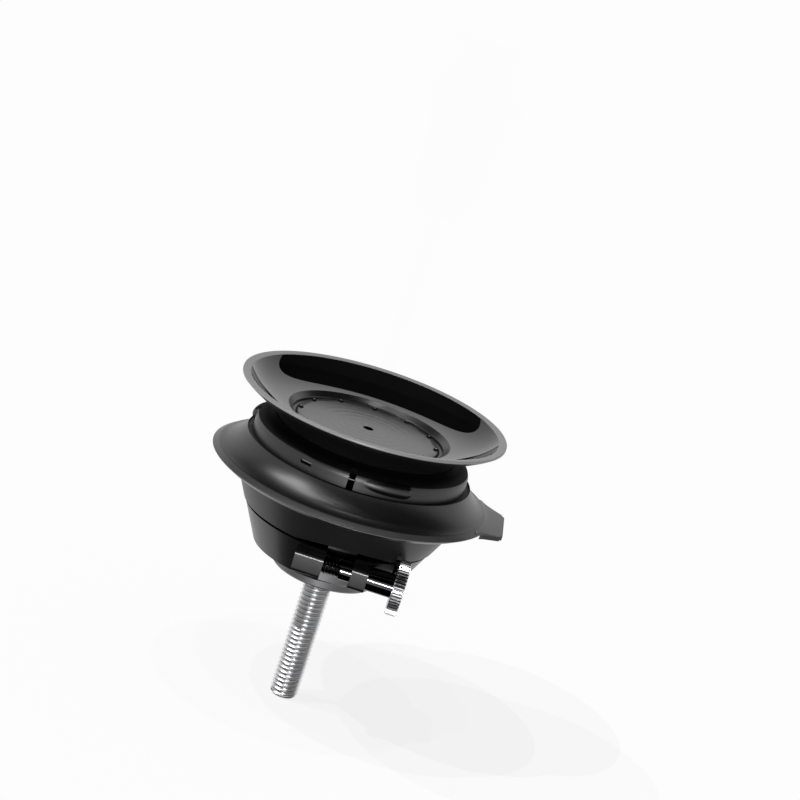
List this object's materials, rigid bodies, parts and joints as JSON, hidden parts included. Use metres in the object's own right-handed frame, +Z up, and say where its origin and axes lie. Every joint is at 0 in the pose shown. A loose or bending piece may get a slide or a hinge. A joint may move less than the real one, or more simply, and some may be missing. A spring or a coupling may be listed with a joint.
{
  "type": "stem cap phone mount",
  "caption": "Round phone mount for a bicycle stem: a suction cup with magnets and a vent valve on a turning release ring, clamped by a thumbscrew band on a cap bolted into the stem.",
  "frame": {"origin": "centre of the stem's top face, on the stem bolt's axis", "axes": "+Z up the bolt's axis to the phone, +X to the release tab, -Y to the clamp's lugs"},
  "size_m": [0.0617, 0.0588, 0.0661],
  "materials": {
    "anodised_cap": "satin black anodised",
    "bolt_steel": "zinc plated",
    "band_black": "satin black powder coat",
    "screw_steel": "polished dark chrome",
    "housing_black": "satin moulded plastic",
    "seal_black": "matt",
    "ring_black": "satin moulded plastic",
    "inner_plastic": "plain moulded",
    "spring_steel": "plain drawn wire",
    "cup_rubber": "glossy moulded rubber",
    "magnet_nickel": "nickel plated",
    "disc_plastic": "satin moulded plastic with faint rings"
  },
  "bodies": {
    "cap": {"stem_adapter": "anodised_cap", "stem_bolt": "bolt_steel"},
    "head": {"clamp_band": "band_black", "bowl": "housing_black", "housing_screws": "bolt_steel", "collar": "housing_black", "gap_seal": "seal_black", "return_spring": "spring_steel", "magnet_carrier": "inner_plastic", "yoke_plate": "bolt_steel", "magnet_1": "magnet_nickel", "magnet_2": "magnet_nickel", "magnet_3": "magnet_nickel", "magnet_4": "magnet_nickel", "contact_disc": "disc_plastic", "suction_cup": "cup_rubber"},
    "ring": {"release_ring": "ring_black", "ring_plate": "housing_black"},
    "lifter": {"lifter_plate": "inner_plastic", "lifter_pins": "bolt_steel", "valve_plunger": "inner_plastic", "plunger_clip": "spring_steel", "valve_seal": "cup_rubber"},
    "sleeve": {"spacer_sleeve": "screw_steel"},
    "screw": {"thumbscrew": "screw_steel"}
  },
  "joints": [
    {"name": "head_swivel", "type": "hinge", "parent": "cap", "child": "head", "pos_m": [0, 0, 0.005], "axis": [0, 0, 1], "continuous": true},
    {"name": "ring_release", "type": "hinge", "parent": "head", "child": "ring", "pos_m": [0, 0, 0.02], "axis": [0, 0, 1], "range_deg": [0, 22], "stiffness_Nm_per_rad": 0.15, "springref_deg": -17.19},
    {"name": "lifter_slide", "type": "slide", "parent": "head", "child": "lifter", "axis": [0, 0, -1], "range_m": [0, 0.00122], "deforming": ["return_spring"]},
    {"name": "sleeve_slide", "type": "slide", "parent": "head", "child": "sleeve", "axis": [1, 0, 0], "range_m": [0, 0.0014]},
    {"name": "thumbscrew_turn", "type": "hinge", "parent": "sleeve", "child": "screw", "pos_m": [0.01, -0.018, 0.00553], "axis": [1, 0, 0], "range_deg": [0, 722]}
  ],
  "couplings": [
    {"joint": "lifter_slide", "follows": "ring_release", "m_per_rad": 0.0031252},
    {"joint": "thumbscrew_turn", "follows": "sleeve_slide", "rad_per_m": 8976}
  ]
}
